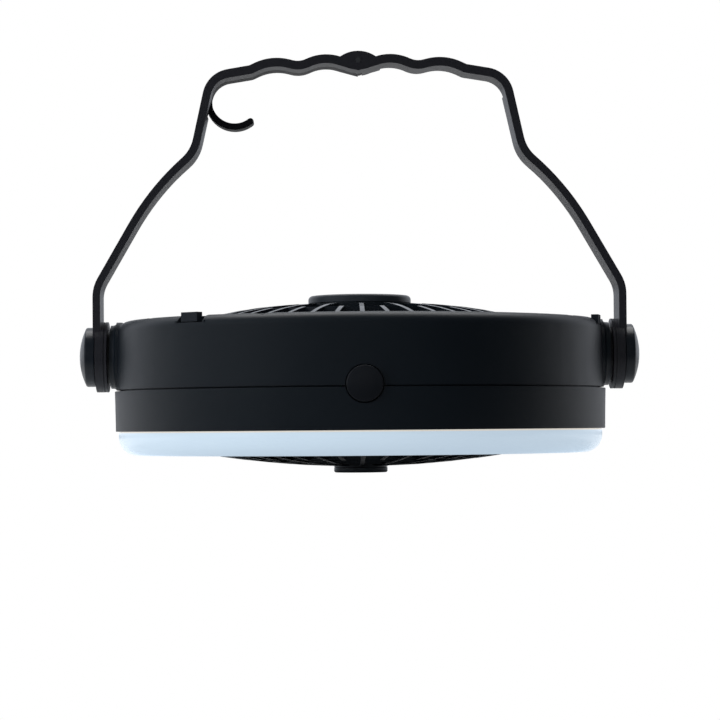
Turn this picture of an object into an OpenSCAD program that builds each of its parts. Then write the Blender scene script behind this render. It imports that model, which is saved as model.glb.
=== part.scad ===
// Portable camping fan with a light ring, a folding strap handle and a hanging hook.
// The fan axis is Z and the light points down. The origin is the centre of the front hub cap's
// flat face, +X runs along the handle pivots, and the power button faces -Y. Millimetres.

/* [Head] */
// Radius of the rear casing at the seam
head_r = 90; // [86:1:96]
// Step by which the front band stands proud of the rear casing
band_step = 0.6; // [0.3:0.1:1.2]
// Height of the rear casing
rear_h = 25.3; // [25:0.5:32]
// Height of the front band
band_h = 15; // [14.6:0.2:20]
// Height of the light diffuser
light_h = 8.7; // [8:0.1:11]
// Height of the diffuser above the front hub cap's flat face
front_stand = 7; // [6:0.5:10]
// Casing wall
wall = 2; // [1.6:0.1:2.4]
// Thickness of the rear face
plate_t = 2.4; // [2.2:0.1:3]
// Radius of the rear casing's shoulder
shoulder_r = 4; // [2:0.5:4.5]
// Width of the open line between the casings
seam_gap = 0.5; // [0.3:0.1:0.8]
// Distance from the air duct to the battery doors
duct_gap = 6.2; // [5.8:0.1:8]
// Wall of the air duct
duct_wall = 1.8; // [1.4:0.1:2]
// Thickness of the floor over the light board
floor_t = 1.8; // [1.5:0.1:2.4]

/* [Light ring] */
// Wall of the diffuser
lens_wall = 1.5; // [1.2:0.1:2]
// Radius of the diffuser's rounded outer edge
lens_round = 6.5; // [5:0.5:8]
// Width of the bezel between the air duct and the diffuser
bezel_w = 5.2; // [5:0.1:6]
// Number of light-emitting diodes
led_count = 18; // [12:3:18]
// Thickness of the circuit boards
board_t = 1.6; // [1:0.1:2]

/* [Guards] */
// Number of bars at the rim of each guard
bar_count = 40; // [40]
// Width of a guard bar
bar_w = 1.6; // [1.2:0.1:2]
// Depth of a guard bar
bar_d = 2.4; // [1.8:0.1:3]
// Rise of the rear guard from its rim to its hub
rear_dome = 7.4; // [4:0.2:8]
// Radius of the front hub cap
front_cap_r = 9.9; // [8:0.1:12]
// Height of the front hub cap
front_cap_h = 1.9; // [1.5:0.1:2.5]
// Radius of the rear hub cap
rear_cap_r = 19; // [18:0.5:21]
// Height of the rear hub cap
rear_cap_h = 2.7; // [2.7:0.1:5]
// Width of the arm that carries the motor leads
lead_arm_w = 5.5; // [5:0.1:7]

/* [Motor and impeller] */
// Radius of the motor can
motor_r = 12.2; // [11.5:0.1:12.5]
// Length of the motor can
motor_len = 12.2; // [11:0.1:13]
// Radius of the motor shaft
shaft_r = 1; // [0.75:0.05:1.25]
// Distance from the tips of the impeller's blades to the air duct
blade_gap = 7; // [4:0.5:12]
// Radius of the impeller hub
hub_r = 13; // [12:0.5:15]
// Height of the impeller hub
hub_h = 17; // [14:0.5:17.5]
// Angle that each blade covers
blade_sweep = 72; // [55:1:80]
// Thickness of a blade
blade_t = 1.6; // [1.2:0.1:2]

/* [Battery bays] */
// Distance from the battery doors to the side of the head
door_edge = 7.6; // [7.4:0.1:8]
// Thickness of a battery door
door_t = 2.1; // [1.8:0.1:2.1]
// Width of the latch tongue
latch_w = 7.8; // [6:0.2:14]
// Height of the latch tongue above the rear face
latch_rise = 1; // [0.6:0.1:1.4]
// Radius of a cell
cell_r = 7.2; // [6.9:0.05:7.25]
// Length of a cell without its tip
cell_len = 49; // [47:0.5:50]
// Length that a contact spring takes up
spring_room = 4.1; // [3.5:0.1:5]

/* [Power button] */
// Radius of the button
button_r = 6.3; // [5:0.1:7]
// Height of the button above the casing wall
button_proud = 2.4; // [1.5:0.1:3.5]
// Travel of the button
button_travel = 1; // [0.5:0.1:1.2]

/* [Handle] */
// Depth of the handle strap
strap_d = 18; // [15:0.5:20]
// Thickness of the strap at the legs
strap_t = 2.75; // [2.4:0.05:3]
// Thickness of the strap at the grip
grip_t = 3.25; // [3:0.05:4]
// Height of the handle above its pivots
handle_rise = 112.3; // [109:0.5:125]
// Gap between the front band and the handle legs
leg_gap = 4.5; // [4.5:0.5:7]
// Radius of the handle eyes
eye_r = 13; // [12:0.5:14]
// Width of the handle eyes
eye_w = 4.3; // [3.6:0.1:5]
// Length of the fixed side bosses
boss_len = 2; // [2:0.1:5]
// Radius of the knob caps
knob_r = 10.95; // [10:0.05:11]
// Radius of the pivot posts
post_r = 6; // [5:0.1:6.5]

/* [Hook] */
// Depth of the hook arm
hook_d = 7.6; // [5:0.1:9]
// Inner radius of the hook's curl
curl_r = 8.5; // [6:0.1:9]
// Thickness of the hook's curl
curl_t = 2.4; // [2:0.1:3]
// Radius of the hook pin
pin_r = 1; // [0.8:0.05:1.4]

/* [Fits] */
// Radial clearance of turning shafts and pins
run_fit = 0.05; // [0.02:0.01:0.09]
// Clearance between a moving piece and its opening
free_fit = 0.3; // [0.25:0.05:0.4]
// Clearance between pieces that are fixed together
seat_fit = 0.1; // [0.05:0.01:0.15]

/* [Hidden] */
$fn = 96;

// Heights of the stack
z_light = front_stand;
z_band = z_light + light_h;
z_seam = z_band + band_h;
z_top = z_seam + rear_h;
z_floor = z_band + 1.9;
z_plate = z_top - plate_t;
z_duct = z_plate - 1.9;
pivot_z = z_top - 12.7;

// Battery bays around the cells, with X outwards and Y along the bay
contact_t = 0.4;
tip_r = 2.7;
tip_h = 1.3;
bay_wall = 1.3;
bay_end_wall = 1.8;
bay_w = 2 * cell_r + 0.6;
bay_len = cell_len + tip_h + contact_t + 2 * seat_fit + spring_room;
door_w = bay_w + 1.2;
door_len = bay_len + 3;
door_out = head_r - door_edge;
door_in = door_out - door_w;
bay_in = door_in + 0.6;
bay_mid = bay_in + bay_w / 2;

// Radii of the head
band_r = head_r + band_step;
rim_top_r = head_r - 0.6;
crest_r = rim_top_r - shoulder_r;
duct_r = door_in - duct_gap;
impeller_r = duct_r - blade_gap;
duct_out_r = duct_r + duct_wall;
opening_r = duct_r + 3.5;
bezel_r = duct_r + bezel_w;
lens_r = band_r - 1.4;

// Bays, screws and the lead arm around the fan axis
bay_angles = [227.5, 347.5, 107.5];
screw_angles = [287.5, 47.5, 167.5];
light_screw_angles = [207.5, 327.5, 87.5];
button_angle = 270;
lead_angle = 198;

// Bay depth, hinges, latches and contacts
bay_floor_t = 1.4;
bay_depth = 2 * cell_r + 1;
z_bay = z_plate - bay_depth;
z_cell = z_bay + cell_r + seat_fit;
hinge_r = door_t / 2;
hinge_pin_r = 0.6;
hinge_pin_len = 1.2;
hinge_x = door_in + hinge_r;
z_hinge = z_plate + seat_fit + hinge_r;
notch_w = latch_w + 4.6;
notch_d = 2.6;
notch_floor_t = 1.4;
latch_t = 2.6;
latch_out = head_r - 0.9;
contact_w = 9;
tab_x = bay_in + 1.4;
tab_y = bay_len / 2 - contact_t / 2 - seat_fit;
spring_wire_r = 0.35;
cell_top_y = bay_len / 2 - contact_t - 2 * seat_fit - tip_h;
cell_base_y = cell_top_y - cell_len;

// Casing screws
post_x = head_r - 11;
recess_r = 3.15;
post_wall = 1.45;
screw_r = 1.5;
screw_head_r = 2.8;
screw_head_h = 2;
z_post = z_seam + 2.5;
z_screw_seat = z_post + 2.8;

// Seam lip of the front casing
lip_r = head_r - wall - free_fit;
lip_t = 1.3;
lip_h = 2.3;

// Light board
light_board_in = bezel_r + lens_wall + 1.3;
light_board_out = lens_r - lens_wall - 1.9;
diode_r = light_board_out - 6;
light_screw_x = diode_r - 4;
diode_h = 1.2;

// Guards, with their rings at fixed shares of the way from the hub caps to the duct
ring_r = [for (share = [0.3154, 0.487, 0.6587]) front_cap_r + (duct_r - front_cap_r) * share];
rear_ring_r = [for (share = [0.2268, 0.639]) rear_cap_r + (duct_r - rear_cap_r) * share];
front_rim_z = z_light + 0.6;
rear_rim_z = z_top - 0.8;

// Motor, standing on the front plate of the guard's motor cup
z_cap = rear_rim_z + rear_dome;
cup_wall = 1.6;
cup_plate_t = 1.6;
end_cap_h = 1.5;
cup_r = motor_r + free_fit;
z_motor = z_cap - 1.9 - end_cap_h - motor_len;
z_cup = z_motor - seat_fit - cup_plate_t;
can_wall = 0.8;
motor_boss_r = 3.1;
motor_boss_h = 1.2;
bush_r = 2;
motor_screw_x = 8;
motor_screw_r = 1.2;
z_hub = z_cup - 3.2 - hub_h;
terminal_x = 8;
terminal_y = 2.5;
terminal_h = 1.3;

// Leads
lead_r = 0.6;
lead_gap = 0.8;
z_motor_lead = z_cell + 1;
z_battery_lead = z_bay - bay_floor_t - 1.9;
lead_ring_r = (duct_out_r + bay_in - bay_wall) / 2;
plug_angle = 262;

// Control board behind the button
button_z = z_seam + 0.8;
board_y = -(head_r - 15);
board_x = [-20, 18];
board_top = z_seam + 19.3;
button_gap = 0.35;
flange_r = button_r + 1.5;
flange_t = 1.2;
flange_y = -(head_r - wall - 0.8);
stem_r = 2.2;
switch_w = 6;
switch_h = 3.6;
plunger_r = 1.7;
plunger_proud = 1.2;
switch_y = board_y - board_t;
plunger_y = switch_y - switch_h - plunger_proud;
stem_end_y = plunger_y;
rail_w = 3;
rail_h = 10.6;

// Handle pivots along X
boss_r = 11.7;
boss_end = head_r + boss_len;
eye_in = boss_end + 1;
eye_out = eye_in + eye_w;
post_end = eye_out - 0.1;
strap_proud = 0.9;
strap_x = eye_out + strap_proud;
knob_in = eye_out + free_fit;
knob_side = 3.45;
knob_crown = 2.6;
knob_bore = 9.1;
washer_t = 0.8;
pivot_screw_r = 1.5;
pivot_screw_len = 7.6;
pivot_head_r = 3;
pivot_head_h = 1.7;

// Outer line of the handle, in X and Z from the pivot axis: corner points with their radii
leg_r = band_r + leg_gap + strap_t;
leg_low = 30;
leg_high = 48;
leg_mid = (leg_low + leg_high) / 2;
leg_reach = leg_r / cos((leg_high - leg_low) / 2);
ankle_z = leg_r * sin(leg_low) - (strap_x - leg_r * cos(leg_low)) / tan(leg_low);
knee_a = 50.76;
grip_half = 0.568 * leg_r;
// The finger waves, as shares of half the grip
waves = [
    [0, -0.0762, 0], [0.1089, -0.0436, 0.018], [0.2359, 0, 0.3085], [0.3848, -0.0762, 0.127],
    [0.5753, -0.0272, 0.3448], [0.7205, -0.0962, 0.0363], [1, -0.1434, 0.1996]
];
grip_line = [for (p = waves) [0, handle_rise, 0] + p * grip_half];
knee_line = [[leg_r * cos(knee_a), leg_r * sin(knee_a), 13]];
leg_line = [
    [leg_reach * cos(leg_mid), leg_reach * sin(leg_mid), leg_r],
    [strap_x, ankle_z, 14],
    [strap_x, 0, 0]
];
outer_line = concat(grip_line, knee_line, leg_line);

// Grip centre and hook
oval_h = 7;
oval_arc_r = 11.5;
pin_z = pivot_z + handle_rise - 3.7;
hook_hub_r = 3.45;
half_depth = strap_d / 2;
hook_y = half_depth - hook_d;
curl_x = 9.7 - grip_half;
curl_z = pivot_z + handle_rise - 17.1;
curl_end = 307;
slot_z = curl_z - 6;

// Points of an arc
function arc(c, r, a, b, n) = [
    for (i = [0 : n]) let (t = a + (b - a) * i / n) c + r * [cos(t), sin(t)]
];
function unit(v) = v / norm(v);
// Points of a round corner at b between a and c; each entry is [x, z, radius]
function corner(a, b, c) =
    let (p = [b[0], b[1]], u = unit([a[0], a[1]] - p), v = unit([c[0], c[1]] - p))
    let (half = acos(u * v) / 2, cut = b[2] / tan(half), m = p + unit(u + v) * b[2] / sin(half))
    let (s = p + u * cut - m, e = p + v * cut - m)
    let (a0 = atan2(s[1], s[0]), turn = atan2(s[0] * e[1] - s[1] * e[0], s * e))
    let (n = max(2, ceil(abs(turn) * sqrt(b[2]) / 22)))
    arc(m, b[2], a0, a0 + turn, n);
// A line with round corners
function rounded(line) = concat(
    [[line[0][0], line[0][1]]],
    [for (i = [1 : len(line) - 2]) each corner(line[i - 1], line[i], line[i + 1])],
    [[line[len(line) - 1][0], line[len(line) - 1][1]]]
);
// A line moved sideways by t, to the right of its direction
function shifted(p, t) = [
    for (i = [0 : len(p) - 1])
        let (d = unit(p[min(len(p) - 1, i + 1)] - p[max(0, i - 1)]))
        p[i] + t * [d[1], -d[0]]
];
function reversed(p) = [for (i = [len(p) - 1 : -1 : 0]) p[i]];
function flipped(p) = [for (q = p) [-q[0], q[1]]];
// Thickness of the strap, thinner below the knees
function strap_at(x) = strap_t + (grip_t - strap_t) * min(1, max(0, (grip_half + 15 - x) / 25));
// The inner line, a strap's thickness inside the outer line
function inside(p) = concat([p[0] - [0, grip_t]], [
    for (i = [1 : len(p) - 1])
        let (d = unit(p[min(len(p) - 1, i + 1)] - p[i - 1]))
        p[i] + strap_at(p[i][0]) * [d[1], -d[0]]
]);
band_outer = rounded(outer_line);
band_inner = inside(band_outer);
// The hook arm follows the band from the grip's centre to the end of its corner, over the curl
arm_end = curl_r + curl_t + 1 - curl_x;
hook_outer = [for (p = band_outer) if (p[1] > curl_z - pivot_z - 3.7 && p[0] < arm_end) p];
hook_inner = [for (i = [0 : len(hook_outer) - 1]) band_inner[i]];
arm_tip = (hook_outer[len(hook_outer) - 1] + hook_inner[len(hook_outer) - 1]) / 2;
curl_start = atan2(arm_tip[1] + pivot_z - curl_z, -arm_tip[0] - curl_x) - 2.3;

// Outer surface of the guards over the radius
rear_hub_z = z_cap - 0.5;
front_hub_z = front_cap_h + 0.5;
function rear_guard_z(r) =
    rear_rim_z + (rear_hub_z - rear_rim_z) * (pow(opening_r, 3) - pow(r, 3))
    / (pow(opening_r, 3) - pow(rear_cap_r, 3));
function front_guard_z(r) =
    front_hub_z + (front_rim_z - front_hub_z) * (r * r - front_cap_r * front_cap_r)
    / (duct_r * duct_r - front_cap_r * front_cap_r);

// Outer outline of the rear casing
rim_outline = concat(
    [[head_r, z_seam + seam_gap / 2]],
    arc([crest_r, z_top - shoulder_r], shoulder_r, 0, 90, 8)
);

module at_angle(a) {
    rotate([0, 0, a]) children();
}

module along_x(x) {
    translate([x, 0, pivot_z]) rotate([0, 90, 0]) children();
}

module along_y(x, y, z) {
    translate([x, y, z]) rotate([-90, 0, 0]) children();
}

module box(low, high) {
    translate(low) cube(high - low);
}

module ring(r_in, r_out, z0, z1) {
    translate([0, 0, z0]) difference() {
        cylinder(r = r_out, h = z1 - z0);
        translate([0, 0, -1]) cylinder(r = r_in, h = z1 - z0 + 2);
    }
}

// A straight piece of lead between two points
module lead(p, q, r = lead_r) {
    d = q - p;
    translate(p) rotate([0, atan2(norm([d[0], d[1]]), d[2]), atan2(d[1], d[0])]) {
        cylinder(r = r, h = norm(d), $fn = 24);
        sphere(r = r * 1.05, $fn = 24);
    }
}

module lead_joint(p) {
    translate(p) sphere(r = lead_r * 1.08, $fn = 24);
}

module lead_run(points) {
    for (i = [0 : len(points) - 2]) lead(points[i], points[i + 1]);
}

module lead_arc(radius, z, a, b) {
    translate([0, 0, z]) rotate([0, 0, a]) rotate_extrude(angle = b - a)
        translate([radius, 0]) circle(r = lead_r, $fn = 24);
}

function polar(r, a, z) = [r * cos(a), r * sin(a), z];

// A plain screw with its head up, its shoulder at the origin
module screw(r, length, head_r, head_h) {
    translate([0, 0, -length]) cylinder(r = r, h = length + head_h / 2, $fn = 32);
    difference() {
        cylinder(r = head_r, h = head_h, $fn = 48);
        translate([-head_r * 0.7, -head_h / 6, head_h * 0.6]) cube([head_r * 1.4, head_h / 3, head_h]);
        translate([-head_h / 6, -head_r * 0.7, head_h * 0.6]) cube([head_h / 3, head_r * 1.4, head_h]);
    }
}

module bay_shell() {
    box([bay_in - bay_wall, -bay_len / 2 - bay_end_wall, z_bay - bay_floor_t],
        [bay_in + bay_w + bay_end_wall, bay_len / 2 + bay_end_wall, z_plate + 0.5]);
    box([door_out - 0.4, -notch_w / 2 - 1, z_top - notch_d - notch_floor_t],
        [head_r - wall / 2, notch_w / 2 + 1, z_plate + 0.5]);
}

module bay_cuts() {
    box([bay_in, -bay_len / 2, z_bay], [bay_in + bay_w, bay_len / 2, z_top + 1]);
    box([door_in - seat_fit * 2, -door_len / 2 - seat_fit * 2, z_plate],
        [door_out + seat_fit * 2, door_len / 2 + seat_fit * 2, z_top + 1]);
    box([door_out - 0.5, -notch_w / 2, z_top - notch_d], [head_r + 2, notch_w / 2, z_top + 1]);
    along_y(hinge_x, -door_len / 2 - hinge_pin_len - free_fit, z_hinge)
        cylinder(r = hinge_pin_r + run_fit, h = door_len + 2 * (hinge_pin_len + free_fit), $fn = 32);
    for (side = [-1, 1])
        translate([tab_x, side * tab_y, z_bay - bay_floor_t / 2])
            cube([2.6, 1, bay_floor_t + 1], center = true);
}

// The flare where a side boss grows out of the casing
module boss_foot() {
    foot = 1.4;
    intersection() {
        along_x(0) rotate_extrude() polygon(concat(
            [[boss_r - 1, head_r - wall - 0.2], [boss_r + foot, head_r - wall - 0.2]],
            arc([boss_r + foot, head_r + foot - 0.2], foot, 270, 180, 5),
            [[boss_r - 1, head_r + foot - 0.2]]
        ));
        box([0, -boss_r * 2, z_seam + seam_gap / 2 + 0.1], [head_r * 2, boss_r * 2, z_top]);
    }
}

module button_hole(y0, y1, r) {
    along_y(0, y0, button_z) cylinder(r = r, h = y1 - y0);
}

module rear_casing() {
    color("#1c2127") difference() {
        union() {
            rotate_extrude($fn = 180) polygon(concat(rim_outline, [
                [opening_r, z_top], [opening_r, z_plate], [rim_top_r - wall, z_plate],
                [head_r - wall, z_seam + seam_gap / 2]
            ]));
            for (a = bay_angles) at_angle(a) bay_shell();
            for (a = screw_angles) at_angle(a)
                translate([post_x, 0, z_post]) cylinder(r = recess_r + post_wall, h = z_plate - z_post + 0.5);
            for (side = [0, 180]) rotate([0, 0, side]) {
                along_x(head_r - wall - 0.2) cylinder(r = boss_r, h = boss_len + wall + 0.2);
                boss_foot();
                along_x(boss_end - 1) cylinder(r = post_r, h = post_end - boss_end + 1);
            }
        }
        for (a = bay_angles) at_angle(a) bay_cuts();
        for (a = screw_angles) at_angle(a) {
            translate([post_x, 0, z_screw_seat]) cylinder(r = recess_r, h = z_top - z_screw_seat + 1);
            translate([post_x, 0, z_post - 1]) cylinder(r = screw_r + seat_fit, h = z_top - z_post, $fn = 32);
        }
        for (side = [0, 180]) rotate([0, 0, side])
            along_x(post_end - pivot_screw_len - 0.5)
                cylinder(r = pivot_screw_r + run_fit, h = pivot_screw_len + 1, $fn = 32);
        button_hole(-head_r - 5, -head_r + 6, button_r + button_gap);
    }
}

module front_casing() {
    color("#1a1f25") difference() {
        union() {
            rotate_extrude($fn = 180) polygon([
                [band_r - 0.3, z_band], [band_r, z_seam - seam_gap / 2], [lip_r, z_seam - seam_gap / 2],
                [lip_r, z_seam + lip_h], [lip_r - lip_t, z_seam + lip_h], [lip_r - lip_t, z_seam - 5],
                [band_r - wall - 0.4, z_seam - 7], [band_r - wall - 0.4, z_floor + floor_t],
                [duct_out_r, z_floor + floor_t], [duct_out_r, z_duct], [duct_r, z_duct],
                [duct_r, z_light + 2.2], [duct_out_r, z_light + 2.2], [duct_out_r, z_floor],
                [band_r - wall - 0.4, z_floor], [band_r - wall - 0.4, z_band]
            ]);
            for (a = screw_angles) at_angle(a)
                translate([post_x, 0, z_floor + 0.5])
                    cylinder(r = 3.6, h = z_post - z_floor - 0.5 - seat_fit);
            for (a = light_screw_angles) at_angle(a)
                translate([light_screw_x, 0, z_floor + 0.5]) cylinder(r = 3, h = 6);
            for (x = [board_x[0] - rail_w / 2, board_x[1] - rail_w / 2])
                box([x, board_y - board_t - 1.5, z_floor + 0.5],
                    [x + rail_w, board_y + 1.5, z_floor + floor_t + rail_h]);
        }
        for (a = screw_angles) at_angle(a)
            translate([post_x, 0, z_floor + floor_t]) cylinder(r = screw_r + run_fit, h = z_post, $fn = 32);
        for (a = light_screw_angles) at_angle(a)
            translate([light_screw_x, 0, z_floor - 1])
                cylinder(r = motor_screw_r + run_fit, h = 6.5, $fn = 32);
        box([board_x[0] - seat_fit, board_y - board_t - seat_fit, z_floor + floor_t],
            [board_x[1] + seat_fit, board_y + seat_fit, z_top]);
        at_angle(lead_angle) box([duct_r - 1, -2.2, z_plate - 5], [duct_out_r + 1, 2.2, z_plate + 1]);
        translate([12, board_y + 3, z_floor - 1]) cylinder(r = 2.2, h = floor_t + 2);
        button_hole(-head_r - 5, -head_r + 6, button_r + button_gap);
        button_hole(flange_y - 0.7, board_y - board_t - 2.5, flange_r + 0.6);
    }
}

module light_diffuser() {
    lip_top = z_floor - seat_fit;
    lens_lip_r = band_r - wall - 0.4 - free_fit;
    outer = arc([lens_r - lens_round, z_light + lens_round], lens_round, -90, 0, 10);
    inner_round = lens_round - lens_wall;
    inner = arc([lens_r - lens_round, z_light + lens_round], inner_round, 0, -90, 10);
    color("#d3e2ee") rotate_extrude($fn = 180) polygon(concat(
        [[bezel_r + seat_fit * 2, z_light]], outer,
        [[lens_r, z_band - seat_fit], [lens_lip_r, z_band - seat_fit], [lens_lip_r, lip_top],
         [lens_r - lens_wall - 1, lip_top], [lens_r - lens_wall - 1, z_light + lens_round + 1]],
        inner,
        [[bezel_r + lens_wall + seat_fit * 2, z_light + lens_wall],
         [bezel_r + lens_wall + seat_fit * 2, lip_top], [bezel_r + seat_fit * 2, lip_top]]
    ));
}

// One radial bar, in the plane of X and Z, between two radii
module rear_bar(r0, r1, w, d, below = 0) {
    n = 6;
    top = [for (i = [0 : n]) let (r = r0 + (r1 - r0) * i / n) [r, rear_guard_z(r) - below]];
    rotate([90, 0, 0]) translate([0, 0, -w / 2]) linear_extrude(w)
        polygon(concat(top, reversed([for (p = top) p - [0, d]])));
}

module front_bar(r0, r1, w, d) {
    n = 4;
    low = [for (i = [0 : n]) let (r = r0 + (r1 - r0) * i / n) [r, front_guard_z(r)]];
    rotate([90, 0, 0]) translate([0, 0, -w / 2]) linear_extrude(w)
        polygon(concat(low, reversed([for (p = low) p + [0, d]])));
}

// The bars thin out towards the hub: all at the rim, half of them further in, a quarter at the hub
function bar_start(i, r_hub, r_mid, r_out) = i % 4 == 0 ? r_hub : (i % 2 == 0 ? r_mid : r_out);

module rear_guard() {
    step = 360 / bar_count;
    rim_in = duct_r + 1.2;
    color("#15191d") difference() {
        union() {
            ring(rim_in, opening_r - seat_fit * 2, z_duct + seat_fit, rear_rim_z);
            for (r = rear_ring_r)
                ring(r - bar_w / 2, r + bar_w / 2, rear_guard_z(r) - bar_d + 0.35, rear_guard_z(r) - 0.15);
            for (i = [0 : bar_count - 1]) {
                a = button_angle + i * step;
                r0 = bar_start(i, rear_cap_r - 1, rear_ring_r[0], rear_ring_r[1]);
                if (a % 360 != lead_angle) at_angle(a) rear_bar(r0, rim_in + 0.6, bar_w, bar_d);
            }
            at_angle(lead_angle) {
                rear_bar(rear_cap_r - 1, rim_in + 0.6, lead_arm_w, 1.4);
                for (side = [-1, 1])
                    translate([0, side * (lead_arm_w / 2 - 0.45), 0])
                        rear_bar(rear_cap_r - 1, rim_in + 0.6, 0.9, 3.6);
            }
            ring(cup_r, cup_r + cup_wall, z_cup, z_cap - 0.4);
            ring(cup_r, rear_cap_r, z_cap - 2.4, z_cap - 0.3);
            ring(motor_boss_r + free_fit, cup_r + 0.5, z_cup, z_cup + cup_plate_t);
        }
        for (side = [0, 180]) at_angle(side) translate([motor_screw_x, 0, z_cup - 1])
            cylinder(r = motor_screw_r + seat_fit, h = cup_plate_t + 2, $fn = 32);
        at_angle(lead_angle) {
            box([cup_r - 1, -1.8, z_cap - 3.6], [rear_cap_r + 2, 1.8, z_cap - 1.3]);
            box([cup_r - 1, -1.8, z_cap - 3.6], [cup_r + cup_wall + 1, 1.8, z_cap + 1]);
            rear_bar(rear_cap_r - 2, rim_in - 0.5, lead_arm_w - 1.8, 4, 1.4);
            box([duct_r, -1.85, z_plate - 4], [opening_r + 1, 1.85, z_plate + 0.2]);
        }
    }
}

module rear_hub_cap() {
    top = z_cap + rear_cap_h;
    roof = top - 1.2;
    edge = 1.5;
    color("#14181c") difference() {
        union() {
            rotate_extrude() polygon(concat(
                [[0, roof], [cup_r - 1.6, roof], [cup_r - 1.6, z_cap - 1],
                 [cup_r - free_fit, z_cap - 1], [cup_r - free_fit, roof],
                 [rear_cap_r - 1.6, roof], [rear_cap_r - 1.6, z_cap - 0.2], [rear_cap_r, z_cap - 0.2]],
                arc([rear_cap_r - edge, top - edge], edge, 0, 90, 5), [[0, top]]
            ));
        }
        at_angle(lead_angle) box([0, -2.9, z_cap - 2], [cup_r + 1, 2.9, z_cap + 1]);
    }
}

module front_guard() {
    step = 360 / bar_count;
    color("#15191d") difference() {
        union() {
            ring(duct_r - 0.6, bezel_r, z_light + 0.2, z_light + 2.1);
            ring(duct_out_r + 0.2, duct_out_r + 1.5, z_light + 1.5, z_light + 5);
            for (r = ring_r)
                ring(r - bar_w / 2, r + bar_w / 2, front_guard_z(r) + 0.15, front_guard_z(r) + bar_d - 0.35);
            for (i = [0 : bar_count - 1]) at_angle(button_angle + i * step)
                front_bar(bar_start(i, front_cap_r - 0.8, ring_r[0], ring_r[2]), duct_r - 0.1, bar_w, bar_d);
            translate([0, 0, front_cap_h + seat_fit]) cylinder(r = front_cap_r, h = bar_d);
        }
        translate([0, 0, -1]) cylinder(r = 2.6, h = bar_d + front_cap_h + 2);
    }
}

module front_hub_cap() {
    edge = 0.7;
    color("#14181c") rotate_extrude() polygon(concat(
        [[0, 0]], arc([front_cap_r - edge, edge], edge, -90, 0, 4),
        [[front_cap_r, front_cap_h], [2.5, front_cap_h], [2.5, front_cap_h + bar_d], [0, front_cap_h + bar_d]]
    ));
}

module motor_can() {
    color("#b9bdc2") difference() {
        union() {
            translate([0, 0, z_motor]) cylinder(r = motor_r, h = motor_len);
            translate([0, 0, z_motor - motor_boss_h]) cylinder(r = motor_boss_r, h = motor_boss_h + 1);
        }
        translate([0, 0, z_motor + can_wall]) cylinder(r = motor_r - can_wall, h = motor_len);
        translate([0, 0, z_motor - 3]) cylinder(r = bush_r + seat_fit / 2, h = 6);
        for (side = [0, 180]) at_angle(side) translate([motor_screw_x, 0, z_motor - 1])
            cylinder(r = motor_screw_r + run_fit, h = 3, $fn = 32);
    }
}

module motor_magnets() {
    color("#4c4f54") difference() {
        ring(motor_r - can_wall - 2, motor_r - can_wall - seat_fit,
            z_motor + can_wall + 0.4, z_motor + motor_len - 1.5);
        for (a = [45, 225]) at_angle(a) translate([0, 0, z_motor + motor_len / 2])
            cube([motor_r * 2, 5, motor_len], center = true);
    }
}

module motor_end_cap() {
    z0 = z_motor + motor_len + seat_fit / 2;
    color("#e6e4dc") difference() {
        union() {
            translate([0, 0, z0]) cylinder(r = motor_r, h = end_cap_h - seat_fit);
            translate([0, 0, z0 - 1]) cylinder(r = motor_r - can_wall - seat_fit, h = 1.5);
        }
        translate([0, 0, z0 - 2]) cylinder(r = bush_r + seat_fit / 2, h = end_cap_h + 4);
        at_angle(lead_angle) for (side = [-1, 1]) translate([terminal_x, side * terminal_y, z0])
            cube([1.8, 0.7, 9], center = true);
    }
}

module motor_terminals() {
    z0 = z_motor + motor_len - 0.8;
    color("#c9a24a") at_angle(lead_angle) for (side = [-1, 1])
        translate([terminal_x - 0.8, side * terminal_y - 0.25, z0])
            cube([1.6, 0.5, 0.8 + end_cap_h + terminal_h]);
}

module motor_screws() {
    color("#a9adb2") for (side = [0, 180]) at_angle(side)
        translate([motor_screw_x, 0, z_cup - 0.05]) rotate([180, 0, 0]) screw(motor_screw_r, 2.6, 2.2, 1.2);
}

module shaft_bushes() {
    color("#a87f4a") {
        ring(shaft_r + run_fit, bush_r, z_motor - motor_boss_h, z_motor + 1.2);
        ring(shaft_r + run_fit, bush_r,
            z_motor + motor_len - 0.8, z_motor + motor_len + end_cap_h - seat_fit);
    }
}

module motor_rotor() {
    color("#8d5a3c") difference() {
        translate([0, 0, z_motor + 2.4]) cylinder(r = motor_r - can_wall - 2.5, h = motor_len - 5);
        translate([0, 0, z_motor]) cylinder(r = shaft_r + 0.02, h = motor_len, $fn = 32);
        for (a = [0, 120, 240]) at_angle(a) translate([motor_r - 5.5, 0, z_motor + motor_len / 2])
            cube([5, 1.4, motor_len], center = true);
    }
}

module motor_shaft() {
    color("#c6cacf") translate([0, 0, z_hub + 2.2])
        cylinder(r = shaft_r, h = z_motor + motor_len + end_cap_h - 0.4 - z_hub - 2.2, $fn = 32);
}

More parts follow.
